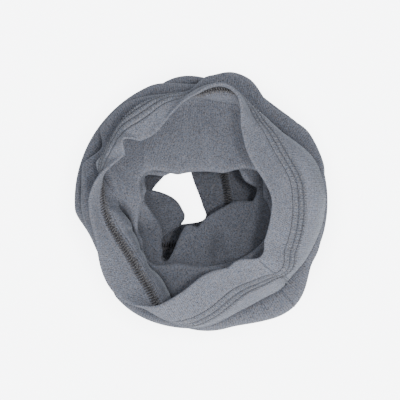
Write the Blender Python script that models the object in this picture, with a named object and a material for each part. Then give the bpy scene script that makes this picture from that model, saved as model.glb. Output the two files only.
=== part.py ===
"""Neck warmer: one tube of jersey with a turned hem at each end, set down in loose folds.

The tube is pushed together, so that its wall runs to and fro in rolls round an open middle.
The wall is drawn as rings, from the upper edge down to the lower edge on the surface.
"""
import math

import bpy
import numpy as np

MM = 0.001
JERSEY = 1.2          # wall of the tube, mm
HEM = 2.0             # wall of a turned hem, mm
SEAM_GAP = 0.3        # between one piece and the next, mm
MIDDLE_X = 0.0        # middle of the box before it is moved to the origin, mm
MIDDLE_Y = 1.05
COLUMNS = 84          # points round the tube
TURN_REACH = 0.15     # of a ring's step, from a turn's middle to its upper and lower line
TURN_ROUND = 0.5      # how far those lines lie back, as a share of half the turn
LEAST_TURN = 2.2      # those lines stay this far from the middle, mm
REST = JERSEY / 2     # height of the wall's middle where it lies on the surface, mm

# Rings, mm: a turn above 0 is an outer roll's depth, one below 0 an inner fold's
# name, middle x, middle y, half width x, half width y, height, rise to x, rise to y, turn
RINGS = [
    ("rim",          -17,   6,  79,  94, 88.0, 1, 4,  0),
    ("rim_stitch",    -5,  -3,  84,  93, 77.0, 1, 0,  0),
    ("collar",         4,  -6, 107, 105, 64.0, 1, 2, 12),
    ("collar_under",   2,  -4,  93,  93, 55.5, 1, 2, 1.5),
    ("top_inner",      2, -14,  60,  42, 52.0, 1, 2, -6),
    ("top_roll",       2,   2, 111, 110, 44.0, 1, 2, 11),
    ("mid_inner",      0, -10,  56,  42, 35.5, 1, 1, -6),
    ("mid_roll",       0,   1, 113, 113, 27.5, 1, 1, 11),
    ("low_inner",      0,   0,  62,  60, 18.5, 0, 0, -6),
    ("foot_roll",      1,   0, 107, 106, 10.0, 0, 0, 11),
    ("floor",          0,   0,  95,  95, REST, 0, 0,  0),
    ("foot_stitch",  -22,  -2,  43,  66, REST, 0, 0,  0),
    ("foot_edge",    -21,   6,  26,  40, REST, 0, 0,  0),
]
# Folds that push a ring out or in, mm and degrees
# what, ring, at, reach before, reach after, bluntness, out, up, turn
FOLDS = [
    ("lobe",              "rim",          120, 52, 52, 2, -32, -5, 0),
    ("lobe end",          "rim",          158, 26, 26, 2, -10, 0, 0),
    ("pinch",             "rim",          141.5, 9, 9, 2, 10, 3, 0),
    ("right kink",        "rim",           27, 32, 32, 2, -14, 0, 0),
    ("back crown",        "rim",           62, 20, 20, 2, 11, 3, 0),
    ("front lean",        "rim",          -68, 40, 40, 2, -21, -2, 0),
    ("seam corner",       "rim",          -32, 9, 9, 2, 4, 0, 0),
    ("seam corner side",  "rim",          -43, 9, 9, 2, -4, 0, 0),
    ("left flare",        "rim",         -126, 34, 34, 2, 12, 0, 0),
    ("right kink",        "rim_stitch",    32, 20, 20, 2, -4, 0, 0),
    ("back crown",        "rim_stitch",    74, 24, 26, 2, 15, -1, 0),
    ("lobe",              "rim_stitch",   122, 16, 16, 2, -3.5, 0, 0),
    ("lobe lift",         "rim_stitch",   128, 48, 44, 3, 0, 9, 0),
    ("left funnel",       "rim_stitch",  -146, 40, 40, 2, -11, -2, 0),
    ("twist",             "rim_stitch",  -105, 20, 20, 2, 8, 0, 0),
    ("front lean",        "rim_stitch",   -62, 30, 30, 2, -13, 1, 0),
    ("seam corner",       "rim_stitch",   -33, 10, 10, 2, 5, 0, 0),
    ("upper right flat",  "collar",        51, 30, 24, 2, -10, 2, -2),
    ("back lean",         "collar",        80, 24, 30, 2, -11, 0, -4),
    ("lobe crest",        "collar",       122, 10, 10, 2, 3, 0, 0),
    ("upper left",        "collar",       146, 16, 16, 2, -4, 0, 0),
    ("lobe height",       "collar",       126, 40, 32, 3, -1, 14, -6),
    ("left shelf",        "collar",       216, 52, 36, 2, -41, 2, -3),
    ("shelf back end",    "collar",       176, 21, 30, 3, -23, 0, 0),
    ("shelf edge",        "collar",       204, 9, 9, 2, -5, 0, 0),
    ("shelf valley",      "collar",       168, 13, 14, 3, 0, -5, 0),
    ("valley turn",       "collar",       168, 16, 14, 3, 0, 0, -14),
    ("shelf front end",   "collar",       246, 24, 18, 2, -24, 0, -2),
    ("front line",        "collar",       294, 30, 22, 2, -11, 2, 0),
    ("lower right line",  "collar",       320, 28, 36, 2, -10, 0, -3),
    ("right dip",         "collar",       -10, 20, 18, 2, -3, 0, 0),
    ("left fold",         "collar_under", 186, 36, 28, 3, -21, 0, 0),
    ("left fold lift",    "collar_under", 166, 15, 14, 3, 0, 4, 0),
    ("left fold edge",    "collar_under", 170, 20, 18, 3, 0, 0, -1.5),
    ("under the shelf",   "collar_under", 228, 22, 30, 2, -8, 1.5, 4),
    ("back left corner",  "top_inner",    134, 24, 22, 2, 14, 0, 0),
    ("back right corner", "top_inner",     50, 24, 26, 2, 13, 1, 0),
    ("left fold",         "top_inner",    172, 26, 28, 2, -3, 2, 0),
    ("left front corner", "top_inner",    228, 24, 22, 2, 10, 0, 0),
    ("back swell",        "top_roll",      76, 18, 12, 2, 6, 0, 1),
    ("upper right",       "top_roll",      52, 20, 18, 2, -8, 0, 0),
    ("back tuck",         "top_roll",      99, 12, 34, 2, -13, 1, -3),
    ("left tuck",         "top_roll",     152, 8, 12, 2, -10, 0, -3),
    ("left roll",         "top_roll",     176, 14, 30, 2, -3, 0, 0),
    ("left slump",        "top_roll",     210, 30, 44, 2, -9, 0, -2),
    ("lower right roll",  "top_roll",     309, 28, 22, 2, 13, 0, 1),
    ("front swell",       "top_roll",     274, 26, 26, 2, 5, 0, 0),
    ("right tuck",        "top_roll",       0, 26, 18, 2, -6, 0, 0),
    ("thick right",       "top_roll",     320, 70, 60, 2, 0, -1.5, 4),
    ("thin left",         "top_roll",     150, 70, 70, 2, 0, 1.5, -2),
    ("under thick right", "mid_inner",    320, 70, 60, 2, 0, -3, 0),
    ("over thick left",   "mid_inner",    150, 70, 70, 2, 0, 3, 0),
    ("shallow back",      "mid_inner",     78, 34, 34, 2, 16, 0, 0),
    ("thin right",        "mid_roll",     320, 70, 60, 2, 0, -1.5, -3),
    ("thick left",        "mid_roll",     150, 70, 70, 2, 0, 1.5, 4),
    ("back tuck",         "mid_roll",      92, 12, 22, 2, -8, 0, -2),
    ("left notch",        "mid_roll",     205, 22, 24, 3, -10, 0, -2),
    ("upper right",       "mid_roll",      53, 22, 22, 2, -5, 0, 0),
    ("lower left",        "mid_roll",     240, 20, 34, 2, 3, 0, 0),
    ("front slump",       "mid_roll",     306, 40, 40, 2, -5, 0, -1),
    ("shallow back",      "low_inner",     96, 44, 44, 2, 18, 0, 0),
    ("over thick foot",   "low_inner",     70, 60, 60, 2, 0, 1, 0),
    ("thick foot",        "foot_roll",     70, 60, 60, 2, 0, 1.5, 3),
    ("right tuck",        "foot_roll",     30, 26, 26, 2, -8, 0, 0),
    ("back tuck",         "foot_roll",     96, 30, 50, 2, -7, 0, 0),
    ("back swell",        "foot_roll",     99, 30, 30, 2, 17, 0, 0),
    ("upper left tuck",   "foot_roll",    146, 20, 20, 2, -6, 0, 0),
    ("left tuck",         "foot_roll",    204, 26, 26, 2, -7, 0, 0),
    ("front tuck",        "foot_roll",    262, 26, 26, 2, -8, 0, 0),
    ("lower right roll",  "foot_roll",    316, 34, 26, 2, 5, 0, 0),
]
# Folds that push a ring to the right or to the back, mm and degrees
# what, ring, at, reach before, reach after, bluntness, right, back
SLIPS = [
    ("bulge",             "mid_inner",    290, 50, 60, 2, -4, 42),
    ("bulge shoulder",    "mid_inner",    256, 16, 16, 2, 0, 16),
    ("bulge right end",   "mid_inner",    345, 60, 60, 2, -7, 22),
    ("notch",             "mid_inner",    237, 8, 9, 2, -3, -7),
    ("strip",             "mid_inner",    198, 46, 38, 2, 17, 2),
    ("back left corner",  "mid_inner",    138, 14, 14, 2, -8, 6),
    ("tongue",            "low_inner",    190, 25, 34, 2, 46, 0),
    ("tongue's back",     "low_inner",    176, 12, 12, 2, 7, 4),
    ("front fold",        "foot_stitch",  265, 60, 62, 2, 4, 32),
    ("front fold",        "foot_edge",    275, 62, 62, 2, 0, 13),
    ("right tilt",        "foot_edge",     25, 50, 60, 2, -9, 0),
    ("left tilt",         "foot_edge",    140, 34, 38, 2, 11, 0),
    ("lower right tilt",  "foot_edge",    -31, 34, 20, 2, 3.8, 0),
]
# A raised crease in the bottom panel beside the lower hem
# station, reach in stations, at, reach before, reach after, turn a station, up
RIDGE = (10.80, 0.16, 15, 26, 30, 30, 6)
# Slow rise and fall of all the rings together: waves a turn, high side, share of the height
WAVES = [(1, 60, 0.02), (2, 100, 0.03), (3, 20, 0.025)]


def bump(x, blunt):
    """One at the middle, level to zero at a distance of one."""
    return (1 - np.clip(np.abs(x), 0, 1) ** blunt) ** 2


def reach(angles, at, before, after, blunt):
    """A fold's weight at each angle round the tube."""
    off = (angles - at + 180) % 360 - 180
    return bump(np.where(off < 0, off / before, off / after), blunt)


def ring_lines(angles):
    """The lines that the wall runs through, and the station of each."""
    outward = np.stack([np.cos(np.radians(angles)), np.sin(np.radians(angles)), 0 * angles], 1)
    middles, halves = [], []
    for name, x, y, half_x, half_y, height, rise_x, rise_y, turn in RINGS:
        ring = outward * (half_x, half_y, 0) + (x, y, height)
        ring[:, 2] += outward @ (rise_x, rise_y, 0)
        depth = np.full(len(angles), abs(turn), float)
        for what, of, at, before, after, blunt, out, up, more in FOLDS:
            if of == name:
                weight = reach(angles, at, before, after, blunt)
                ring += weight[:, None] * (out * outward + (0, 0, up))
                depth += weight * more
        for what, of, at, before, after, blunt, right, back in SLIPS:
            if of == name:
                ring += reach(angles, at, before, after, blunt)[:, None] * (right, back, 0)
        middles.append(ring)
        halves.append(depth[:, None] / 2 if turn else np.zeros((len(angles), 1)))
    lines, stations = [], []
    for k, ring in enumerate(middles):
        if not RINGS[k][8]:
            lines.append(ring)
            stations.append(float(k))
            continue
        half = halves[k]
        proud = np.sum((ring - (middles[k - 1] + middles[k + 1]) / 2) * outward, axis=1)
        back = outward * TURN_ROUND * np.abs(half) * np.clip(proud / 8, -1, 1)[:, None]
        along = middles[k - 1] - halves[k - 1] * (0, 0, 1)
        along -= middles[k + 1] + halves[k + 1] * (0, 0, 1)
        along /= np.linalg.norm(along, axis=1, keepdims=True)
        step = half * (0, 0, 1) + along * np.sqrt(np.maximum(LEAST_TURN ** 2 - half ** 2, 0))
        lines += [ring + step - back, ring, ring - step - back]
        stations += [k - TURN_REACH, k, k + TURN_REACH]
    return np.array(lines), stations


def wall(angles, rows):
    """Points on the middle of the wall, a row for each station, mm."""
    lines, stations = ring_lines(angles)
    first = 2 * lines[0] - lines[1]
    last = 2 * lines[-1] - lines[-2]
    lines = np.concatenate([first[None], lines, last[None]])
    gaps = np.linalg.norm(np.diff(lines, axis=0), axis=2, keepdims=True)
    knots = np.concatenate([0 * gaps[:1], np.cumsum(np.sqrt(gaps), axis=0)])
    swing = 1 + sum(share * np.cos(np.radians(n * (angles - at))) for n, at, share in WAVES)
    station, width, at, before, after, drift, lift = RIDGE
    out = []
    for row in rows:
        k = min(np.searchsorted(stations, row, side="right") - 1, len(stations) - 2)
        p0, p1, p2, p3 = lines[k:k + 4]
        t0, t1, t2, t3 = knots[k:k + 4]
        t = t1 + (t2 - t1) * (row - stations[k]) / (stations[k + 1] - stations[k])
        a = ((t1 - t) * p0 + (t - t0) * p1) / (t1 - t0)
        b = ((t2 - t) * p1 + (t - t1) * p2) / (t2 - t1)
        c = ((t3 - t) * p2 + (t - t2) * p3) / (t3 - t2)
        d = ((t2 - t) * a + (t - t0) * b) / (t2 - t0)
        e = ((t3 - t) * b + (t - t1) * c) / (t3 - t1)
        ring = ((t2 - t) * d + (t - t1) * e) / (t2 - t1)
        crease = bump((row - station) / width, 2)
        crease = crease * reach(angles, at + drift * (row - station), before, after, 2)
        ring[:, 2] = np.maximum(REST, (ring[:, 2] + lift * crease) * swing)
        out.append(ring - (MIDDLE_X, MIDDLE_Y, 0))
    return np.array(out)


def facing(points):
    """Unit vectors down the wall, square to its rows, and out of the cloth's right side."""
    around = np.roll(points, -1, 1) - np.roll(points, 1, 1)
    out = np.cross(np.gradient(points, axis=0), around)
    down = np.cross(around, out)
    return [v / np.linalg.norm(v, axis=2, keepdims=True) for v in (down, out)]


def add_piece(name, colour, first, last, right_side, wrong_side):
    """One closed piece of the tube, from its first row to its last, short of its seams."""
    part = points[first:last + 1].copy()
    part[0] += down[first] * SEAM_GAP / 2
    part[-1] -= down[last] * SEAM_GAP / 2
    rows, round_count = part.shape[:2]
    faces_out = (part + outward[first:last + 1] * right_side).reshape(-1, 3)
    faces_in = (part - outward[first:last + 1] * wrong_side).reshape(-1, 3)
    count = rows * round_count
    faces = []
    for i in range(rows - 1):
        for j in range(round_count):
            a, b = i * round_count + j, i * round_count + (j + 1) % round_count
            c, d = b + round_count, a + round_count
            faces += [(a, d, c), (a, c, b)]
            faces += [(count + a, count + c, count + d), (count + a, count + b, count + c)]
    for j in range(round_count):
        a, b = j, (j + 1) % round_count
        faces += [(a, b, count + a), (b, count + b, count + a)]
        a, b = a + count - round_count, b + count - round_count
        faces += [(a, count + a, b), (b, count + a, count + b)]
    mesh = bpy.data.meshes.new(name)
    mesh.from_pydata((np.concatenate([faces_out, faces_in]) * MM).tolist(), [], faces)
    mesh.shade_smooth()
    mesh.set_sharp_from_angle(angle=math.radians(60))
    material = bpy.data.materials.new(name)
    material.use_nodes = True
    shader = material.node_tree.nodes["Principled BSDF"]
    shader.inputs["Base Color"].default_value = colour
    shader.inputs["Roughness"].default_value = 0.9
    shader.inputs["Metallic"].default_value = 0.0
    mesh.materials.append(material)
    piece = bpy.data.objects.new(name, mesh)
    bpy.context.scene.collection.objects.link(piece)
    return piece


for old in list(bpy.data.objects):
    bpy.data.objects.remove(old, do_unlink=True)

# Columns stand closer on the left, where the folds are narrow
angles = np.interp(np.arange(COLUMNS) / COLUMNS, [0, 0.24, 0.78, 1], [0, 116, 262, 360])

# Three rows to a turn and one between turns, but none in the two shortest steps
SHORT_STEPS = ("collar", "foot_roll")
rows = []
for k, ring in enumerate(RINGS[:-1]):
    start = k + TURN_REACH if ring[8] else k
    end = k + 1 - TURN_REACH if RINGS[k + 1][8] else k + 1
    rows += [k - TURN_REACH, k, start] if ring[8] else [k]
    if ring[0] not in SHORT_STEPS:
        rows.append((start + end) / 2)
rows.append(len(RINGS) - 1)

points = wall(angles, rows)
down, outward = facing(points)
upper = rows.index(1)
lower = rows.index(len(RINGS) - 2)
last = len(rows) - 1
GREY = (0.17, 0.18, 0.21, 1.0)
HEM_GREY = (0.18, 0.19, 0.22, 1.0)

# Upper hem: the tube's end turned to the inside once
add_piece("upper_hem", HEM_GREY, 0, upper, JERSEY / 2, HEM - JERSEY / 2)

# Body: the tube's own panel, which makes the four rolls and lies on the surface
add_piece("body", GREY, upper, lower, JERSEY / 2, JERSEY / 2)

# Lower hem: the other end, turned to the inside, flat on the surface
add_piece("lower_hem", HEM_GREY, lower, last, JERSEY / 2, HEM - JERSEY / 2)
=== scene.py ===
"""Neck warmer of grey jersey: one tube with a turned and needle-stitched hem at each end.

It lies on a surface, pushed together in loose rolls round an open middle, and the camera looks
straight down on it.
"""
import math
import random

import bpy
import numpy as np
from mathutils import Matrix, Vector


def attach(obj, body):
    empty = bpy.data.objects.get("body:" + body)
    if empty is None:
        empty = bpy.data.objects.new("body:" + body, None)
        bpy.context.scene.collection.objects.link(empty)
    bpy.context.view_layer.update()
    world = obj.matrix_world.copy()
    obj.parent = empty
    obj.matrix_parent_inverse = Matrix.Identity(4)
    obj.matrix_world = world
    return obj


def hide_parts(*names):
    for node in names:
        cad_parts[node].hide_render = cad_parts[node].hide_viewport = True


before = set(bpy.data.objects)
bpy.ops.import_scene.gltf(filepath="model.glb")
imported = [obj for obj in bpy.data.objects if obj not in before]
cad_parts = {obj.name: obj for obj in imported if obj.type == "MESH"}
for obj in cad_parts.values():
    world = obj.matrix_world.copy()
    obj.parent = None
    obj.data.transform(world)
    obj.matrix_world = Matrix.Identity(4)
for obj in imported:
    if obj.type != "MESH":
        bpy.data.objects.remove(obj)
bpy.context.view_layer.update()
MM = 0.001

# The body panel is one piece of single jersey, sewn into a tube and pushed together, so that its
# wall runs to and fro in rolls round an open middle. Each ring is one line of the cloth round the
# tube, from the upper edge down to the lower edge, and the folds push the rings in, out and along.
REST = 0.6            # height of the wall's middle where it lies on the surface, mm
MIDDLE_Y = 1.05       # middle of the heap before it is moved to the origin, mm
TURN_REACH = 0.15     # of a ring's step, from a turn's middle to its upper and lower line
TURN_ROUND = 0.5      # how far those lines lie back, as a share of half the turn
LEAST_TURN = 2.2      # those lines stay this far from the middle, mm
FULL_TURN = 8.0       # they lie back in full where a ring is this far out of its neighbours, mm

# Rings, mm: a turn above 0 is an outer roll's depth, one below 0 an inner fold's
# name, middle x, middle y, half width x, half width y, height, rise to x, rise to y, turn
RINGS = [
    ("rim",          -17,   6,  79,  94, 88.0, 1, 4,  0),
    ("rim_stitch",    -5,  -3,  84,  93, 77.0, 1, 0,  0),
    ("collar",         4,  -6, 107, 105, 64.0, 1, 2, 12),
    ("collar_under",   2,  -4,  93,  93, 55.5, 1, 2, 1.5),
    ("top_inner",      2, -14,  60,  42, 52.0, 1, 2, -6),
    ("top_roll",       2,   2, 111, 110, 44.0, 1, 2, 11),
    ("mid_inner",      0, -10,  56,  42, 35.5, 1, 1, -6),
    ("mid_roll",       0,   1, 113, 113, 27.5, 1, 1, 11),
    ("low_inner",      0,   0,  62,  60, 18.5, 0, 0, -6),
    ("foot_roll",      1,   0, 107, 106, 10.0, 0, 0, 11),
    ("floor",          0,   0,  95,  95, REST, 0, 0,  0),
    ("foot_stitch",  -22,  -2,  43,  66, REST, 0, 0,  0),
    ("foot_edge",    -21,   6,  26,  40, REST, 0, 0,  0),
]
# Folds that push a ring out or in, mm and degrees
# what, ring, at, reach before, reach after, bluntness, out, up, turn
FOLDS = [
    ("lobe",              "rim",          120, 52, 52, 2, -32, -5, 0),
    ("lobe end",          "rim",          158, 26, 26, 2, -10, 0, 0),
    ("pinch",             "rim",          141.5, 9, 9, 2, 10, 3, 0),
    ("right kink",        "rim",           27, 32, 32, 2, -14, 0, 0),
    ("back crown",        "rim",           62, 20, 20, 2, 11, 3, 0),
    ("front lean",        "rim",          -68, 40, 40, 2, -21, -2, 0),
    ("seam corner",       "rim",          -32, 9, 9, 2, 4, 0, 0),
    ("seam corner side",  "rim",          -43, 9, 9, 2, -4, 0, 0),
    ("left flare",        "rim",         -126, 34, 34, 2, 12, 0, 0),
    ("right kink",        "rim_stitch",    32, 20, 20, 2, -4, 0, 0),
    ("back crown",        "rim_stitch",    74, 24, 26, 2, 15, -1, 0),
    ("lobe",              "rim_stitch",   122, 16, 16, 2, -3.5, 0, 0),
    ("lobe lift",         "rim_stitch",   128, 48, 44, 3, 0, 9, 0),
    ("left funnel",       "rim_stitch",  -146, 40, 40, 2, -11, -2, 0),
    ("twist",             "rim_stitch",  -105, 20, 20, 2, 8, 0, 0),
    ("front lean",        "rim_stitch",   -62, 30, 30, 2, -13, 1, 0),
    ("seam corner",       "rim_stitch",   -33, 10, 10, 2, 5, 0, 0),
    ("upper right flat",  "collar",        51, 30, 24, 2, -10, 2, -2),
    ("back lean",         "collar",        80, 24, 30, 2, -11, 0, -4),
    ("lobe crest",        "collar",       122, 10, 10, 2, 3, 0, 0),
    ("upper left",        "collar",       146, 16, 16, 2, -4, 0, 0),
    ("lobe height",       "collar",       126, 40, 32, 3, -1, 14, -6),
    ("left shelf",        "collar",       216, 52, 36, 2, -41, 2, -3),
    ("shelf back end",    "collar",       176, 21, 30, 3, -23, 0, 0),
    ("shelf edge",        "collar",       204, 9, 9, 2, -5, 0, 0),
    ("shelf valley",      "collar",       168, 13, 14, 3, 0, -5, 0),
    ("valley turn",       "collar",       168, 16, 14, 3, 0, 0, -14),
    ("shelf front end",   "collar",       246, 24, 18, 2, -24, 0, -2),
    ("front line",        "collar",       294, 30, 22, 2, -11, 2, 0),
    ("lower right line",  "collar",       320, 28, 36, 2, -10, 0, -3),
    ("right dip",         "collar",       -10, 20, 18, 2, -3, 0, 0),
    ("left fold",         "collar_under", 186, 36, 28, 3, -21, 0, 0),
    ("left fold lift",    "collar_under", 166, 15, 14, 3, 0, 4, 0),
    ("left fold edge",    "collar_under", 170, 20, 18, 3, 0, 0, -1.5),
    ("under the shelf",   "collar_under", 228, 22, 30, 2, -8, 1.5, 4),
    ("back left corner",  "top_inner",    134, 24, 22, 2, 14, 0, 0),
    ("back right corner", "top_inner",     50, 24, 26, 2, 13, 1, 0),
    ("left fold",         "top_inner",    172, 26, 28, 2, -3, 2, 0),
    ("left front corner", "top_inner",    228, 24, 22, 2, 10, 0, 0),
    ("back swell",        "top_roll",      76, 18, 12, 2, 6, 0, 1),
    ("upper right",       "top_roll",      52, 20, 18, 2, -8, 0, 0),
    ("back tuck",         "top_roll",      99, 12, 34, 2, -13, 1, -3),
    ("left tuck",         "top_roll",     152, 8, 12, 2, -10, 0, -3),
    ("left roll",         "top_roll",     176, 14, 30, 2, -3, 0, 0),
    ("left slump",        "top_roll",     210, 30, 44, 2, -9, 0, -2),
    ("lower right roll",  "top_roll",     309, 28, 22, 2, 13, 0, 1),
    ("front swell",       "top_roll",     274, 26, 26, 2, 5, 0, 0),
    ("right tuck",        "top_roll",       0, 26, 18, 2, -6, 0, 0),
    ("thick right",       "top_roll",     320, 70, 60, 2, 0, -1.5, 4),
    ("thin left",         "top_roll",     150, 70, 70, 2, 0, 1.5, -2),
    ("under thick right", "mid_inner",    320, 70, 60, 2, 0, -3, 0),
    ("over thick left",   "mid_inner",    150, 70, 70, 2, 0, 3, 0),
    ("shallow back",      "mid_inner",     78, 34, 34, 2, 16, 0, 0),
    ("thin right",        "mid_roll",     320, 70, 60, 2, 0, -1.5, -3),
    ("thick left",        "mid_roll",     150, 70, 70, 2, 0, 1.5, 4),
    ("back tuck",         "mid_roll",      92, 12, 22, 2, -8, 0, -2),
    ("left notch",        "mid_roll",     205, 22, 24, 3, -10, 0, -2),
    ("upper right",       "mid_roll",      53, 22, 22, 2, -5, 0, 0),
    ("lower left",        "mid_roll",     240, 20, 34, 2, 3, 0, 0),
    ("front slump",       "mid_roll",     306, 40, 40, 2, -5, 0, -1),
    ("shallow back",      "low_inner",     96, 44, 44, 2, 18, 0, 0),
    ("over thick foot",   "low_inner",     70, 60, 60, 2, 0, 1, 0),
    ("thick foot",        "foot_roll",     70, 60, 60, 2, 0, 1.5, 3),
    ("right tuck",        "foot_roll",     30, 26, 26, 2, -8, 0, 0),
    ("back tuck",         "foot_roll",     96, 30, 50, 2, -7, 0, 0),
    ("back swell",        "foot_roll",     99, 30, 30, 2, 17, 0, 0),
    ("upper left tuck",   "foot_roll",    146, 20, 20, 2, -6, 0, 0),
    ("left tuck",         "foot_roll",    204, 26, 26, 2, -7, 0, 0),
    ("front tuck",        "foot_roll",    262, 26, 26, 2, -8, 0, 0),
    ("lower right roll",  "foot_roll",    316, 34, 26, 2, 5, 0, 0),
]
# Folds that push a ring to the right or to the back, mm and degrees
# what, ring, at, reach before, reach after, bluntness, right, back
SLIPS = [
    ("bulge",             "mid_inner",    290, 50, 60, 2, -4, 42),
    ("bulge shoulder",    "mid_inner",    256, 16, 16, 2, 0, 16),
    ("bulge right end",   "mid_inner",    345, 60, 60, 2, -7, 22),
    ("notch",             "mid_inner",    237, 8, 9, 2, -3, -7),
    ("strip",             "mid_inner",    198, 46, 38, 2, 17, 2),
    ("back left corner",  "mid_inner",    138, 14, 14, 2, -8, 6),
    ("tongue",            "low_inner",    190, 25, 34, 2, 46, 0),
    ("tongue's back",     "low_inner",    176, 12, 12, 2, 7, 4),
    ("front fold",        "foot_stitch",  265, 60, 62, 2, 4, 32),
    ("front fold",        "foot_edge",    275, 62, 62, 2, 0, 13),
    ("right tilt",        "foot_edge",     25, 50, 60, 2, -9, 0),
    ("left tilt",         "foot_edge",    140, 34, 38, 2, 11, 0),
    ("lower right tilt",  "foot_edge",    -31, 34, 20, 2, 3.8, 0),
]
# A raised crease in the bottom panel beside the lower hem
# station, reach in stations, at, reach before, reach after, turn a station, up
RIDGE = (10.80, 0.16, 15, 26, 30, 30, 6)
# Slow rise and fall of all the rings together: waves a turn, high side, share of the height
WAVES = [(1, 60, 0.02), (2, 100, 0.03), (3, 20, 0.025)]


def bump(x, blunt):
    """One at the middle, level to zero at a distance of one."""
    return (1 - np.clip(np.abs(x), 0, 1) ** blunt) ** 2


def reach(angles, at, before, after, blunt):
    """A fold's weight at each angle round the tube."""
    off = (angles - at + 180) % 360 - 180
    return bump(np.where(off < 0, off / before, off / after), blunt)


def ring_lines(angles):
    """The lines that the wall runs through, and the station of each."""
    outward = np.stack([np.cos(np.radians(angles)), np.sin(np.radians(angles)), 0 * angles], 1)
    middles, halves = [], []
    for name, x, y, half_x, half_y, height, rise_x, rise_y, turn in RINGS:
        ring = outward * (half_x, half_y, 0) + (x, y, height)
        ring[:, 2] += outward @ (rise_x, rise_y, 0)
        depth = np.full(len(angles), abs(turn), float)
        for what, of, at, before, after, blunt, out, up, more in FOLDS:
            if of == name:
                weight = reach(angles, at, before, after, blunt)
                ring += weight[:, None] * (out * outward + (0, 0, up))
                depth += weight * more
        for what, of, at, before, after, blunt, right, back in SLIPS:
            if of == name:
                ring += reach(angles, at, before, after, blunt)[:, None] * (right, back, 0)
        middles.append(ring)
        halves.append(depth[:, None] / 2 if turn else np.zeros((len(angles), 1)))
    lines, stations = [], []
    for k, ring in enumerate(middles):
        turns = RINGS[k][-1] != 0
        if not turns:
            lines.append(ring)
            stations.append(float(k))
            continue
        half = halves[k]
        proud = np.sum((ring - (middles[k - 1] + middles[k + 1]) / 2) * outward, axis=1)
        lie_back = TURN_ROUND * np.abs(half) * np.clip(proud / FULL_TURN, -1, 1)[:, None]
        along = middles[k - 1] - halves[k - 1] * (0, 0, 1)
        along -= middles[k + 1] + halves[k + 1] * (0, 0, 1)
        along /= np.linalg.norm(along, axis=1, keepdims=True)
        step = half * (0, 0, 1) + along * np.sqrt(np.maximum(LEAST_TURN ** 2 - half ** 2, 0))
        lines += [ring + step - outward * lie_back, ring, ring - step - outward * lie_back]
        stations += [k - TURN_REACH, k, k + TURN_REACH]
    return np.array(lines), stations


def mix(start, end, start_knot, end_knot, knot):
    """A line between two others, at its knot between theirs."""
    return ((end_knot - knot) * start + (knot - start_knot) * end) / (end_knot - start_knot)


def wall(angles, rows):
    """Points on the middle of the wall, a row for each station, mm.

    Between its lines the wall follows a curve that is mixed from the two lines on each side.
    """
    lines, stations = ring_lines(angles)
    first = 2 * lines[0] - lines[1]
    last = 2 * lines[-1] - lines[-2]
    lines = np.concatenate([first[None], lines, last[None]])
    gaps = np.linalg.norm(np.diff(lines, axis=0), axis=2, keepdims=True)
    knots = np.concatenate([0 * gaps[:1], np.cumsum(np.sqrt(gaps), axis=0)])
    swing = 1 + sum(share * np.cos(np.radians(n * (angles - at))) for n, at, share in WAVES)
    station, width, at, before, after, drift, lift = RIDGE
    out = []
    for row in rows:
        k = min(np.searchsorted(stations, row, side="right") - 1, len(stations) - 2)
        p0, p1, p2, p3 = lines[k:k + 4]
        t0, t1, t2, t3 = knots[k:k + 4]
        t = t1 + (t2 - t1) * (row - stations[k]) / (stations[k + 1] - stations[k])
        middle = mix(p1, p2, t1, t2, t)
        upper = mix(mix(p0, p1, t0, t1, t), middle, t0, t2, t)
        lower = mix(middle, mix(p2, p3, t2, t3, t), t1, t3, t)
        ring = mix(upper, lower, t1, t2, t)
        crease = bump((row - station) / width, 2)
        crease = crease * reach(angles, at + drift * (row - station), before, after, 2)
        ring[:, 2] = np.maximum(REST, (ring[:, 2] + lift * crease) * swing)
        out.append(ring - (0, MIDDLE_Y, 0))
    return np.array(out)


def facing(points):
    """Unit vectors down the wall, square to its rows, and out of the cloth's right side."""
    around = np.roll(points, -1, 1) - np.roll(points, 1, 1)
    out = np.cross(np.gradient(points, axis=0), around)
    down = np.cross(around, out)
    return [v / np.linalg.norm(v, axis=2, keepdims=True) for v in (down, out)]


def measure(points):
    """Each step down the wall, and how far each row lies from the rim, mm."""
    steps = np.linalg.norm(np.diff(points, axis=0), axis=2)
    return steps, np.concatenate([0 * steps[:1], np.cumsum(steps, axis=0)])


# Soft creases in the cloth, where it buckled as it was pushed together, mm and degrees
# what, from angle, from station, to angle, to station, width, lift
CREASES = [
    ("left strip's edge", 125, 3.30, 133, 3.95,  3.5, -1.4),
    ("back wall swell",    92, 2.90,  84, 3.95, 12,   -2.5),
    ("back wall hollow",   72, 2.90,  66, 3.95, 14,    3.0),
    ("bulge's hollow",    276, 5.52, 292, 5.62, 15,    7.0),
    ("right valley",       24, 1.72, -40, 1.72,  9,   -4.0),
    ("front valley",      -48, 1.70, -98, 1.75,  7,   -2.5),
]
COLUMNS = 288         # points round the tube
# They stand closer on the left, where the folds are tightest: share of the columns, angle
SPACING = [(0, 0), (0.24, 116), (0.78, 262), (1, 360)]
STEPS = 80            # rows from one ring to the next
GIRTH = 95.0          # the tube's mean radius as it stands, mm
ONCE_ROUND = 2 * math.pi * GIRTH
UPPER_SEWN = STEPS                       # row of the upper hem's first needle row
LOWER_SEWN = STEPS * (len(RINGS) - 2)    # and of the lower hem's

angles = np.interp(np.arange(COLUMNS) / COLUMNS, *zip(*SPACING))
stations = np.linspace(0, len(RINGS) - 1, STEPS * (len(RINGS) - 1) + 1)
cloth = wall(angles, stations)
mean_depth = measure(cloth)[1].mean(axis=1)


def on_panel(angle, station):
    """A place on the panel as if it were opened out: round the tube and down it, mm."""
    return np.array([math.radians(angle) * GIRTH, np.interp(station, stations, mean_depth)])


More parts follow.
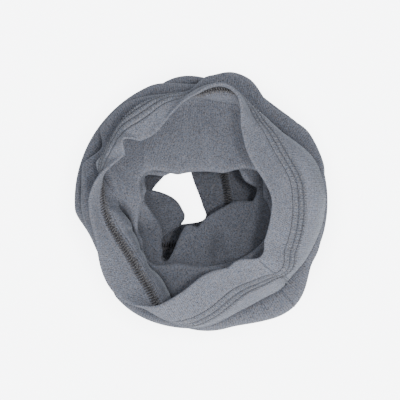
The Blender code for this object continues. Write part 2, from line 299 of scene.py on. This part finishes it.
places = np.stack(np.broadcast_arrays(np.radians(angles) * GIRTH, mean_depth[:, None]), 2)
plain_side = facing(cloth)[1]
for what, angle_a, station_a, angle_b, station_b, width, lift in CREASES:
    start = on_panel(angle_a, station_a)
    along = on_panel(angle_b, station_b) - start
    off = places - start
    half_way = along[0] / 2
    off[..., 0] = (off[..., 0] - half_way + ONCE_ROUND / 2) % ONCE_ROUND - ONCE_ROUND / 2 + half_way
    share = off @ along / (along @ along)
    aside = np.linalg.norm(off - share[..., None] * along, axis=2)
    weight = bump(aside / width, 2) * bump(2 * share - 1, 2)
    cloth = cloth + plain_side * (lift * weight)[..., None]
cloth[..., 2] = np.maximum(cloth[..., 2], REST)
down, right_side = facing(cloth)
steps, depth = measure(cloth)


def add_mesh(name, points, faces):
    """A smooth mesh of its own, from points in mm."""
    mesh = bpy.data.meshes.new(name)
    mesh.from_pydata((np.asarray(points).reshape(-1, 3) * MM).tolist(), [], faces)
    mesh.shade_smooth()
    piece = bpy.data.objects.new(name, mesh)
    bpy.context.scene.collection.objects.link(piece)
    return piece


def add_cloth(name, rows, distances, closed=False):
    """A tube of cloth through rows of points, with its own map in metres round and down it."""
    count = len(rows)
    quads, corners = [], []
    for i in range(count if closed else count - 1):
        for j in range(COLUMNS):
            below, beside = (i + 1) % count * COLUMNS, (j + 1) % COLUMNS
            quads.append((i * COLUMNS + j, below + j, below + beside, i * COLUMNS + beside))
            corners += [(i, j), (i + 1, j), (i + 1, j + 1), (i, j + 1)]
    piece = add_mesh(name, rows, quads)
    across = np.append(np.radians(angles) * GIRTH, ONCE_ROUND)
    along = np.pad(distances, ((0, 1), (0, 1)), mode="wrap")
    row, column = np.array(corners).T
    on_map = np.stack([across[column], along[row, column]], 1) * MM
    cloth_map = piece.data.uv_layers.new(name="cloth")
    cloth_map.uv.foreach_set("vector", on_map.astype(np.float32).ravel())
    return piece


def on_wall(distances, out):
    """Points that lie these distances down the wall, and so far out of its right side, mm."""
    points = np.empty((COLUMNS, 3))
    for j, distance in enumerate(distances):
        row = np.interp(distance, depth[:, j], np.arange(len(stations)))
        i = min(int(row), len(stations) - 2)
        part = row - i
        spot = cloth[i, j] * (1 - part) + cloth[i + 1, j] * part
        side = right_side[i, j] * (1 - part) + right_side[i + 1, j] * part
        past_edges = down[0, j] * min(distance, 0) + down[-1, j] * max(distance - depth[-1, j], 0)
        points[j] = spot + side / np.linalg.norm(side) * out + past_edges
    return points


# Beside each hem the panel is sewn through: it dips at a needle row and swells between rows
# down from the first row in mm, out of the right side in mm
SEWN = [(0.15, -0.6), (0.9, 0.1), (2.2, 0.45), (3.6, 0.45), (4.9, 0.1), (5.6, -0.45),
        (6.3, 0.1), (7.3, 0.35), (8.5, 0.35), (9.5, 0.0), (10.2, -0.35), (10.9, 0.0), (11.8, 0.1)]
CLEAR = 13.0          # down from the first row to the plain panel, mm
BODY_ROWS = 146       # rows of the plain panel
BEND_COUNTS = 9.0     # rows stand closer in a bend: a radian counts as this much cloth, mm
JERSEY = 1.0          # thickness of the jersey, mm

bends = np.linalg.norm(np.diff(right_side, axis=0), axis=2).mean(axis=1)
pace = np.concatenate([[0], np.cumsum(steps.mean(axis=1) + BEND_COUNTS * bends)])
first_plain = int(np.argmax((depth - depth[UPPER_SEWN]).min(axis=1) > CLEAR))
last_plain = int(np.argmax((depth[LOWER_SEWN] - depth).min(axis=1) < CLEAR)) - 1
wanted = np.linspace(pace[first_plain], pace[last_plain], BODY_ROWS)
plain_rows = np.unique([int(np.argmin(abs(pace - p))) for p in wanted])
body_rows = [(depth[UPPER_SEWN] + more, out) for more, out in SEWN]
body_rows += [(depth[i], 0) for i in plain_rows]
body_rows += [(depth[LOWER_SEWN] - more, out) for more, out in reversed(SEWN)]
body_points = np.array([on_wall(distances, out) for distances, out in body_rows])
body_points[..., 2] = np.maximum(body_points[..., 2], REST)
bpy.ops.object.select_all(action="DESELECT")
body = add_cloth("body_panel", body_points, np.array([distances for distances, out in body_rows]))
bpy.context.view_layer.objects.active = body
body.select_set(True)
thick = body.modifiers.new("jersey", "SOLIDIFY")
thick.thickness = JERSEY * MM
thick.offset = 0.0
thick.use_rim = True
bpy.ops.object.modifier_apply(modifier=thick.name)
body.select_set(False)


def add_node(tree, kind, values=None, **settings):
    """A node with its settings and its input values."""
    node = tree.nodes.new(kind)
    for key, value in settings.items():
        setattr(node, key, value)
    for key, value in (values or {}).items():
        node.inputs[key].default_value = value
    return node


def join(tree, *pairs):
    """Links each output to its input."""
    for out, into in pairs:
        tree.links.new(out, into)


def add_noise(tree, scale, detail, roughness=0.5):
    """Soft spots on the piece's own coordinates."""
    coords = add_node(tree, "ShaderNodeTexCoord")
    noise = add_node(tree, "ShaderNodeTexNoise",
                     {"Scale": scale, "Detail": detail, "Roughness": roughness})
    join(tree, (coords.outputs["Object"], noise.inputs["Vector"]))
    return noise.outputs["Fac"]


def add_range(tree, source, low, high, to_low, to_high):
    """A source's values, carried from one range to another."""
    carried = add_node(tree, "ShaderNodeMapRange", {"From Min": low, "From Max": high,
                                                    "To Min": to_low, "To Max": to_high})
    join(tree, (source, carried.inputs["Value"]))
    return carried.outputs["Result"]


def add_math(tree, operation, *values):
    """A sum or a product of outputs and plain numbers."""
    node = add_node(tree, "ShaderNodeMath", operation=operation)
    for into, value in zip(node.inputs, values):
        if isinstance(value, float):
            into.default_value = value
        else:
            join(tree, (value, into))
    return node.outputs[0]


def add_ramp(tree, source, *stops):
    """Colours that follow a source, from stops of a place and a colour."""
    ramp = add_node(tree, "ShaderNodeValToRGB")
    for element, (place, colour) in zip(ramp.color_ramp.elements, stops):
        element.position = place
        element.color = (*colour, 1)
    join(tree, (source, ramp.inputs["Fac"]))
    return ramp.outputs["Color"]


def add_shade(tree, colour, strength):
    """A colour made paler or darker by a strength."""
    shade = add_node(tree, "ShaderNodeVectorMath", operation="SCALE")
    join(tree, (colour, shade.inputs[0]), (strength, shade.inputs["Scale"]))
    return shade.outputs[0]


# The jersey is a fine melange knit: pale and dark fibres spun together, so that it looks grainy
# from a step away, with faint wales down the tube and a soft nap. It is the same on both sides.
knit = bpy.data.node_groups.new("melange_jersey", "ShaderNodeTree")
knit.interface.new_socket("Tint", in_out="INPUT", socket_type="NodeSocketColor")
knit.interface.new_socket("Color", in_out="OUTPUT", socket_type="NodeSocketColor")
knit.interface.new_socket("Roughness", in_out="OUTPUT", socket_type="NodeSocketFloat")
knit.interface.new_socket("Height", in_out="OUTPUT", socket_type="NodeSocketFloat")
entry = add_node(knit, "NodeGroupInput")
leave = add_node(knit, "NodeGroupOutput")
fibre = add_noise(knit, 1700.0, 2.0, 0.6)     # about 0.6 mm across
fleck = add_noise(knit, 800.0, 2.0, 0.6)      # about 1.2 mm
cloud = add_noise(knit, 60.0, 3.0, 0.55)      # about 17 mm
warmth = add_noise(knit, 700.0, 1.0)
coords = add_node(knit, "ShaderNodeTexCoord")
waves = add_node(knit, "ShaderNodeTexWave",
                 {"Scale": 185.0, "Distortion": 1.6, "Detail": 1.0, "Detail Scale": 2.0},
                 wave_type="BANDS", bands_direction="X", wave_profile="SIN")
join(knit, (coords.outputs["UV"], waves.inputs["Vector"]))
wale = waves.outputs["Fac"]
# Each moves the tone either way, the fibres by half
grain = add_math(knit, "ADD", add_range(knit, fibre, 0.3, 0.7, -0.50, 0.50),
                 add_range(knit, fleck, 0.3, 0.7, -0.34, 0.34))
drift = add_math(knit, "ADD", add_range(knit, cloud, 0.3, 0.7, -0.05, 0.05),
                 add_range(knit, wale, 0.0, 1.0, -0.14, 0.14))
tone = add_math(knit, "ADD", add_math(knit, "ADD", grain, drift), 1.0)
hue = add_node(knit, "ShaderNodeMix", {0: 1.0}, data_type="RGBA", blend_type="MULTIPLY")
cool_to_warm = add_ramp(knit, warmth, (0.35, (0.94, 0.99, 1.07)), (0.65, (1.08, 1.0, 0.94)))
join(knit, (entry.outputs["Tint"], hue.inputs[6]), (cool_to_warm, hue.inputs[7]),
     (add_shade(knit, hue.outputs[2], tone), leave.inputs["Color"]),
     (add_range(knit, fleck, 0.0, 1.0, 0.82, 0.98), leave.inputs["Roughness"]),
     (add_math(knit, "MULTIPLY_ADD", wale, 0.5, fibre), leave.inputs["Height"]))


# Painted shade deep between folds and a painted highlight along sharp fold edges, as shares of the
# tint
HOLLOW = 10.0         # cloth this near to other cloth is shaded by it, mm
PAINTED_HOLLOW_SHADE = 0.30   # of the tint, deep between folds
PAINTED_EDGE_HIGHLIGHT = 1.5      # of the tint, on a sharp fold's edge


def new_material(name):
    """A material, its nodes and its shader."""
    material = bpy.data.materials.new(name)
    material.use_nodes = True
    return material, material.node_tree, material.node_tree.nodes["Principled BSDF"]


def jersey_material(name, tint, relief):
    """A melange jersey finish in its own tint, with its relief in mm.

    Painted shade makes it darker deep between folds, and a painted highlight makes it paler along
    sharp fold edges.
    """
    material, tree, shader = new_material(name)
    jersey = add_node(tree, "ShaderNodeGroup", {"Tint": (*tint, 1)}, node_tree=knit)
    hollow = add_node(tree, "ShaderNodeAmbientOcclusion", {"Distance": HOLLOW * MM}, samples=8)
    form = add_node(tree, "ShaderNodeNewGeometry")
    # Painted shade in the hollows and a painted highlight on fold edges, multiplied into the
    # jersey's colour
    painted_shade = add_range(tree, hollow.outputs["AO"], 0.25, 0.90, PAINTED_HOLLOW_SHADE, 1.0)
    edge = add_range(tree, form.outputs["Pointiness"], 0.515, 0.58, 1.0, PAINTED_EDGE_HIGHLIGHT)
    colour = add_shade(tree, jersey.outputs["Color"], add_math(tree, "MULTIPLY", painted_shade, edge))
    loops = add_node(tree, "ShaderNodeBump", {"Strength": 0.6, "Distance": relief * MM})
    join(tree, (colour, shader.inputs["Base Color"]),
         (jersey.outputs["Roughness"], shader.inputs["Roughness"]),
         (jersey.outputs["Height"], loops.inputs["Height"]),
         (loops.outputs["Normal"], shader.inputs["Normal"]))
    shader.inputs["Sheen Weight"].default_value = 0.35
    shader.inputs["Sheen Roughness"].default_value = 0.4
    shader.inputs["Sheen Tint"].default_value = (0.85, 0.92, 1.0, 1)
    shader.inputs["Specular IOR Level"].default_value = 0.2
    return material


JERSEY_TINT = (0.197, 0.208, 0.242)
KNIT_RELIEF = 0.35    # mm
body.data.materials.append(jersey_material("jersey", JERSEY_TINT, KNIT_RELIEF))
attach(body, "root")
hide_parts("body")

# The upper hem is the tube's end turned to the inside once: two layers of jersey with a rolled
# rim, sewn through with three needle rows. The turned layer reaches a little below the rows.
# The hem's jersey is the body's jersey painted paler: painted light on the hem bands
LIT_HEM_TINT = (0.235, 0.248, 0.288)
LEAST_HEIGHT = 0.05   # of a hem over the surface, mm
# A hem's section from the first needle row over the rim to the turned layer's edge
# share of the hem's width, more down the wall in mm, out of the right side in mm
HEM_SECTION = [
    (1.00, -0.15,  0.15), (1.00, -0.60,  0.45), (1.00, -1.40,  0.75), (0.85, 0, 0.80),
    (0.70,  0,     0.75), (0.55,  0,     0.75), (0.40,  0,     0.78), (0.25, 0, 0.85),
    (0.12,  0,     0.95), (0.00,  0.8,   1.00), (0.00, -0.3,   0.80), (0.00, -1.0, 0.25),
    (0.00, -1.2,  -0.45), (0.00, -0.8,  -1.10), (0.00,  0.2,  -1.45), (0.10, 0, -1.60),
    (0.25,  0,    -1.45), (0.40,  0,    -1.40), (0.55,  0,    -1.38), (0.70, 0, -1.40),
    (0.85,  0,    -1.42), (1.00,  0.0,  -1.45), (1.00,  2.4,  -1.60), (1.00, 5.0, -1.45),
    (1.00,  7.2,  -1.60), (1.00,  9.0,  -1.45), (1.00,  9.9,  -1.40), (1.00, 10.5, -1.20),
    (1.00, 10.5,  -0.80), (1.00,  9.8,  -0.62), (1.00,  6.6,  -0.62), (1.00, 2.4, -0.60),
    (1.00,  0.0,  -0.55), (1.00, -0.15, -0.20),
]


def add_hem(name, sewn_row, edge_row):
    """A turned hem between the tube's edge and its first needle row.

    The lower hem's section is gone through backwards, so that its faces still point outwards.
    """
    inward = 1 if sewn_row > edge_row else -1
    edge, sewn = depth[edge_row], depth[sewn_row]
    distances, points = [], []
    for share, more, out in HEM_SECTION[::inward]:
        distances.append(edge + share * (sewn - edge) + inward * more)
        points.append(on_wall(distances[-1], out))
    points = np.array(points)
    points[..., 2] = np.maximum(points[..., 2], LEAST_HEIGHT)
    return add_cloth(name, points, np.array(distances), closed=True)


upper_hem = add_hem("upper_hem_turned", UPPER_SEWN, 0)
lit_hem_finish = jersey_material("hem_jersey_painted_light", LIT_HEM_TINT, KNIT_RELIEF)
upper_hem.data.materials.append(lit_hem_finish)
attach(upper_hem, "root")
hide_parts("upper_hem")

# The lower hem is the tube's other end, turned and sewn in the same way. It lies flat on the
# surface inside the rolls, wrong side up, and shows through the open middle.
lower_hem = add_hem("lower_hem_turned", LOWER_SEWN, len(stations) - 1)
lower_hem.data.materials.append(lit_hem_finish)
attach(lower_hem, "root")
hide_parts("lower_hem")

# The needle threads show on the right side as three rows of short stitches. They are spun
# threads sewn through both layers of the hem, and each stitch sinks into the cloth at its ends.
STITCH = 2.6          # from one needle hole to the next, mm
THREAD = 0.22         # half the needle thread's thickness, mm
LEAN = 0.08           # most that a stitch leans, as a share of its length
# down from the first row, stitches out of the wall's middle, needle holes' radius, mm
NEEDLE_ROWS = [(0.0, 0.25, 0.80), (5.6, 0.35, 0.72), (10.2, 0.35, 0.60)]
# One stitch: along the row as a share of the stitch, out of the cloth in mm, share of thickness
STITCH_SHAPE = [(-0.46, -0.25, 0.6), (-0.34, 0.05, 0.9), (0.0, 0.20, 1.0), (0.34, 0.05, 0.9),
                (0.46, -0.25, 0.6)]
SIDES = 5             # of a thread


def along_row(distances, out, spacing):
    """Evenly spaced places round a row on the wall, with the way along, out and aside there."""
    ring = on_wall(distances, out)
    lift = on_wall(distances, out + 1.0)
    lengths = np.linalg.norm(np.roll(ring, -1, 0) - ring, axis=1)
    at = np.concatenate([[0], np.cumsum(lengths)])
    count = int(round(at[-1] / spacing))
    where = np.arange(count) * at[-1] / count
    ring = np.concatenate([ring, ring[:1]])
    lift = np.concatenate([lift, lift[:1]])
    spots = np.stack([np.interp(where, at, ring[:, axis]) for axis in range(3)], 1)
    outs = np.stack([np.interp(where, at, lift[:, axis]) for axis in range(3)], 1) - spots
    ways = np.roll(spots, -1, 0) - np.roll(spots, 1, 0)
    ways /= np.linalg.norm(ways, axis=1, keepdims=True)
    outs -= ways * np.sum(outs * ways, axis=1, keepdims=True)
    outs /= np.linalg.norm(outs, axis=1, keepdims=True)
    return spots, ways, outs, np.cross(ways, outs)


def ring_round(middle, up, aside, sides=SIDES):
    """Points round a middle, as far off as up and aside are long."""
    turns = np.arange(sides) * 2 * math.pi / sides
    return [middle + up * math.cos(turn) + aside * math.sin(turn) for turn in turns]


def add_threads(name, threads, closed=False):
    """One mesh of thin threads, each a list of rings of points in mm."""
    points, faces = [], []
    for rings in threads:
        start = len(points)
        count = len(rings)
        for i in range(count if closed else count - 1):
            here, there = start + i * SIDES, start + (i + 1) % count * SIDES
            for j in range(SIDES):
                k = (j + 1) % SIDES
                faces.append((here + j, here + k, there + k, there + j))
        points += [point for ring in rings for point in ring]
        if not closed:
            faces.append(tuple(range(start, start + SIDES))[::-1])
            faces.append(tuple(range(len(points) - SIDES, len(points))))
    return add_mesh(name, points, faces)


def mottled_material(name, scale, detail, dark, pale, roughness):
    """A matt finish that is mottled between two stops, each a place and a colour."""
    material, tree, shader = new_material(name)
    colour = add_ramp(tree, add_noise(tree, scale, detail), dark, pale)
    join(tree, (colour, shader.inputs["Base Color"]))
    shader.inputs["Roughness"].default_value = roughness
    return material


stitches = []
uneven = random.Random(7)
for down_from_first, out_of_wall, radius in NEEDLE_ROWS:
    row = along_row(depth[UPPER_SEWN] + down_from_first, out_of_wall, STITCH)
    for spot, way, out, aside in zip(*row):
        leaning = way + aside * uneven.uniform(-LEAN, LEAN)
        stitches.append([ring_round(spot + leaning * share * STITCH + out * rise,
                                    THREAD * size * out, THREAD * size * aside)
                         for share, rise, size in STITCH_SHAPE])
needle_rows = add_threads("needle_rows", stitches)
needle_rows.data.materials.append(mottled_material(
    "needle_thread", scale=2500.0, detail=1.0, dark=(0.0, (0.10, 0.103, 0.115)),
    pale=(1.0, (0.26, 0.266, 0.29)), roughness=0.7))
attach(needle_rows, "root")

# Between the needle rows the jersey itself is drawn up into short ridges, which run across
# the hem's band from row to row, and a little past the last one. They are painted much paler than
# the jersey, a painted highlight on the ridges.
DRAWN_PITCH = 2.6     # from one ridge to the next, mm
DRAWN_RADIUS = 0.46   # half a ridge's width at its middle, mm
# painted highlight: the ridges' jersey made paler than the body's
PAINTED_HIGHLIGHT_RIDGE_TINT = (0.36, 0.375, 0.41)
DRAWN_RELIEF = 0.1    # mm
# from and to, down from the first row, mm
DRAWN_BANDS = [(0.0, 5.6), (5.6, 10.2), (10.2, 13.6)]
# One ridge: share of the band, out of the wall's middle in mm, share of the width
DRAWN_SHAPE = [(0.16, 0.55, 0.5), (0.38, 0.92, 1.0), (0.62, 0.92, 1.0), (0.84, 0.55, 0.5)]
drawn = []
for top, bottom in DRAWN_BANDS:
    rows = [along_row(depth[UPPER_SEWN] + top + (bottom - top) * share, out, DRAWN_PITCH)
            for share, out, size in DRAWN_SHAPE]
    count = min(len(spots) for spots, ways, outs, asides in rows)
    for i in range(count):
        rings = []
        for (spots, ways, outs, asides), (share, out, size) in zip(rows, DRAWN_SHAPE):
            k, part = divmod(i * len(spots) / count, 1)
            a, b = int(k) % len(spots), (int(k) + 1) % len(spots)
            spot = spots[a] * (1 - part) + spots[b] * part
            rings.append(ring_round(spot, DRAWN_RADIUS * size * outs[a],
                                    DRAWN_RADIUS * size * ways[a]))
        drawn.append(rings)
stitch_ridges = add_threads("stitch_ridges", drawn)
stitch_ridges.data.materials.append(jersey_material("ridge_jersey_painted_highlight", PAINTED_HIGHLIGHT_RIDGE_TINT, DRAWN_RELIEF))
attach(stitch_ridges, "root")

# The needle leaves a hole at each end of a stitch. It is a gap between the loops of the jersey,
# held open by the thread's pull, and the shade inside it is painted as a nearly black disc.
HOLE_SIDES = 6
HOLE_SUNK = 0.02      # below the stitches' middle, mm
holes = []
for down_from_first, out_of_wall, radius in NEEDLE_ROWS:
    row = along_row(depth[UPPER_SEWN] + down_from_first, out_of_wall, STITCH)
    for spot, way, out, aside in zip(*row):
        middle = spot + way * STITCH / 2 - out * HOLE_SUNK
        holes.append(ring_round(middle, radius * way, radius * aside, HOLE_SIDES))
hole_faces = np.arange(len(holes) * HOLE_SIDES).reshape(-1, HOLE_SIDES).tolist()
# Painted shade: dark discs over the needle holes
needle_hole_shadows = add_mesh("needle_hole_shadows", holes, hole_faces)
needle_hole_shadows.data.materials.append(mottled_material(
    "needle_hole_shadow", scale=900.0, detail=2.0, dark=(0.0, (0.008, 0.008, 0.009)),
    pale=(1.0, (0.035, 0.035, 0.04)), roughness=1.0))
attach(needle_hole_shadows, "root")

# On the wrong side the looper thread runs to and fro between the needle rows and covers the
# turned layer's edge. It is a soft spun thread, a little thicker and browner than the cloth.
LOOPER = 0.36         # half the looper thread's thickness, mm
ZIG = 1.15            # along the row from one side of the zigzag to the other, mm
LOOPER_BAND = (-0.2, 9.4)    # the zigzag's two sides, down from the first row, mm
LOOPER_OUT = -1.75    # out of the wall's right side, mm
# One strand: share of the way across, off the hem's inner face in mm
STRAND_SHAPE = [(0.0, 0.25), (0.12, -0.1), (0.5, -0.3), (0.88, -0.1)]
# Painted shadow: every other strand is dark where it comes out from under the next one
PAINTED_SHADOW_STEPS = 2      # of every other strand, where it comes out from under the next one
looper_finish = mottled_material(
    "looper_thread", scale=900.0, detail=1.0, dark=(0.40, (0.085, 0.079, 0.080)),
    pale=(0.62, (0.28, 0.27, 0.275)), roughness=0.75)
looper_painted_shadow = mottled_material(
    "looper_painted_shadow", scale=900.0, detail=1.0, dark=(0.0, (0.020, 0.018, 0.018)),
    pale=(1.0, (0.070, 0.064, 0.064)), roughness=0.8)


def add_looper(name, sewn_row, inward):
    """The looper thread of one hem, as one closed zigzag."""
    near, far = [along_row(depth[sewn_row] + inward * more, LOOPER_OUT, ZIG)
                 for more in LOOPER_BAND]
    count = len(near[0]) // 2 * 2
    corners, corner_outs = [], []
    for i in range(count):
        spots, ways, outs, asides = near if i % 2 else far
        k = int(round(i * len(spots) / count)) % len(spots)
        corners.append(spots[k])
        corner_outs.append(outs[k])
    path, outs = [], []
    for i in range(count):
        here, there = corners[i], corners[(i + 1) % count]
        out = corner_outs[i] + corner_outs[(i + 1) % count]
        out /= np.linalg.norm(out)
        path += [here + (there - here) * share + out * rise for share, rise in STRAND_SHAPE]
        outs += [out] * len(STRAND_SHAPE)
    path = np.array(path)
    ways = np.roll(path, -1, 0) - np.roll(path, 1, 0)
    ways /= np.linalg.norm(ways, axis=1, keepdims=True)
    asides = np.cross(ways, outs)
    asides /= np.linalg.norm(asides, axis=1, keepdims=True)
    ups = np.cross(asides, ways)
    rings = [ring_round(*place) for place in zip(path, LOOPER * ups, LOOPER * asides)]
    looper = add_threads(name, [rings], closed=True)
    looper.data.materials.append(looper_finish)
    looper.data.materials.append(looper_painted_shadow)
    # Painted shadow on every other strand, where it comes out from under the next one
    for face in looper.data.polygons:
        strand, step = divmod(face.index // SIDES, len(STRAND_SHAPE))
        face.material_index = int(strand % 2 == 1 and step < PAINTED_SHADOW_STEPS)
    return looper


upper_looper = add_looper("upper_looper", UPPER_SEWN, 1)
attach(upper_looper, "root")
lower_looper = add_looper("lower_looper", LOWER_SEWN, -1)
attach(lower_looper, "root")

# The tube's side seam joins the panel's two edges, and shows as a low ridge in the jersey at the
# front right. It drifts to the front on its way down the tube.
SEAM = [(0.0, 325), (1.0, 323), (2.0, 317), (3.0, 312), (11.0, 306)]    # station, angle
SEAM_START = 6        # first row of the wall, just below the rim
SEAM_STEP = 3         # rows from one ring of the ridge to the next
SEAM_HEIGHT = 0.30    # half the ridge's height, mm
SEAM_WIDTH = 0.55     # half its width, mm
SEAM_ON_HEM = 0.85    # out of the wall's middle on the hem, mm
SEAM_ON_BODY = 0.6    # and below it
seam_rows = np.arange(SEAM_START, LOWER_SEWN, SEAM_STEP)
seam_angles = np.interp(stations[seam_rows], *zip(*SEAM))
rings = []
for i, column in zip(seam_rows, np.interp(seam_angles, angles, np.arange(COLUMNS))):
    j = int(column)
    part = column - j
    spot, out, way = [field[i, j] * (1 - part) + field[i, j + 1] * part
                      for field in (cloth, right_side, down)]
    middle = spot + out * (SEAM_ON_HEM if i < UPPER_SEWN else SEAM_ON_BODY)
    rings.append(ring_round(middle, SEAM_HEIGHT * out, SEAM_WIDTH * np.cross(out, way)))
side_seam = add_threads("side_seam", [rings])
# The seam ridge takes the hem's paler jersey, with its painted light
side_seam.data.materials.append(lit_hem_finish)
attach(side_seam, "root")

# The floor is a plain pale sheet of card, a hair below the neck warmer. It glows a little to the
# camera, as an overlit backdrop does, and less so close round the cloth, a painted contact shadow.
FLOOR_SIZE = 6.0      # m
FLOOR_DROP = 0.0004
FLOOR_SHADED = 0.03   # as near to the cloth as this, m
GLOW_IN_PAINTED_SHADOW, GLOW_OPEN = 5.0, 7.6
bpy.ops.mesh.primitive_plane_add(size=FLOOR_SIZE, location=(0, 0, -FLOOR_DROP))
floor = bpy.context.object
floor.name = "floor"
pale, tree, shader = new_material("pale_floor")
shader.inputs["Base Color"].default_value = (0.72, 0.73, 0.75, 1)
shader.inputs["Roughness"].default_value = 0.9
glow = add_node(tree, "ShaderNodeEmission", {"Color": (0.965, 0.98, 1.0, 1)})
seen = add_node(tree, "ShaderNodeLightPath")
mixed = add_node(tree, "ShaderNodeMixShader")
# Painted contact shadow: the glow is weaker where the cloth is near
around = add_node(tree, "ShaderNodeAmbientOcclusion", {"Distance": FLOOR_SHADED})
strength = add_range(tree, around.outputs["AO"], 0.2, 1.0, GLOW_IN_PAINTED_SHADOW, GLOW_OPEN)
join(tree, (strength, glow.inputs["Strength"]), (seen.outputs["Is Camera Ray"], mixed.inputs[0]),
     (shader.outputs[0], mixed.inputs[1]), (glow.outputs[0], mixed.inputs[2]),
     (mixed.outputs[0], tree.nodes["Material Output"].inputs["Surface"]))
floor.data.materials.append(pale)

# The studio is soft and pale all round, with a key light low at the front and a weaker one high
# over the right side, both small round lamps aimed at the neck warmer.
world = bpy.context.scene.world or bpy.data.worlds.new("studio")
bpy.context.scene.world = world
world.use_nodes = True
world.node_tree.nodes["Background"].inputs["Color"].default_value = (0.93, 0.96, 1.0, 1)
world.node_tree.nodes["Background"].inputs["Strength"].default_value = 0.62
# name, place in metres, size in metres, power in watts
LIGHTS = [
    ("key",      (0.14, -1.02, 0.74), 0.16, 9.0),
    ("overhead", (0.30,  0.02, 1.40), 0.16, 4.2),
]
for name, spot, size, power in LIGHTS:
    lamp = bpy.data.lights.new(name, "AREA")
    lamp.shape = "DISK"
    lamp.size = size
    lamp.energy = power
    light = bpy.data.objects.new(name, lamp)
    light.location = spot
    light.rotation_euler = (-Vector(spot)).to_track_quat("-Z", "Y").to_euler()
    bpy.context.scene.collection.objects.link(light)

# The camera looks straight down on the middle of the neck warmer, from 1.3 m.
CAMERA_PLACE = (-0.0009, 0.00155, 1.300)
LENS = 127.85         # mm, on a sensor 36 mm wide
lens = bpy.data.cameras.new("camera")
lens.lens = LENS
lens.sensor_width = 36.0
camera = bpy.data.objects.new("camera", lens)
camera.location = CAMERA_PLACE
bpy.context.scene.collection.objects.link(camera)
bpy.context.scene.camera = camera
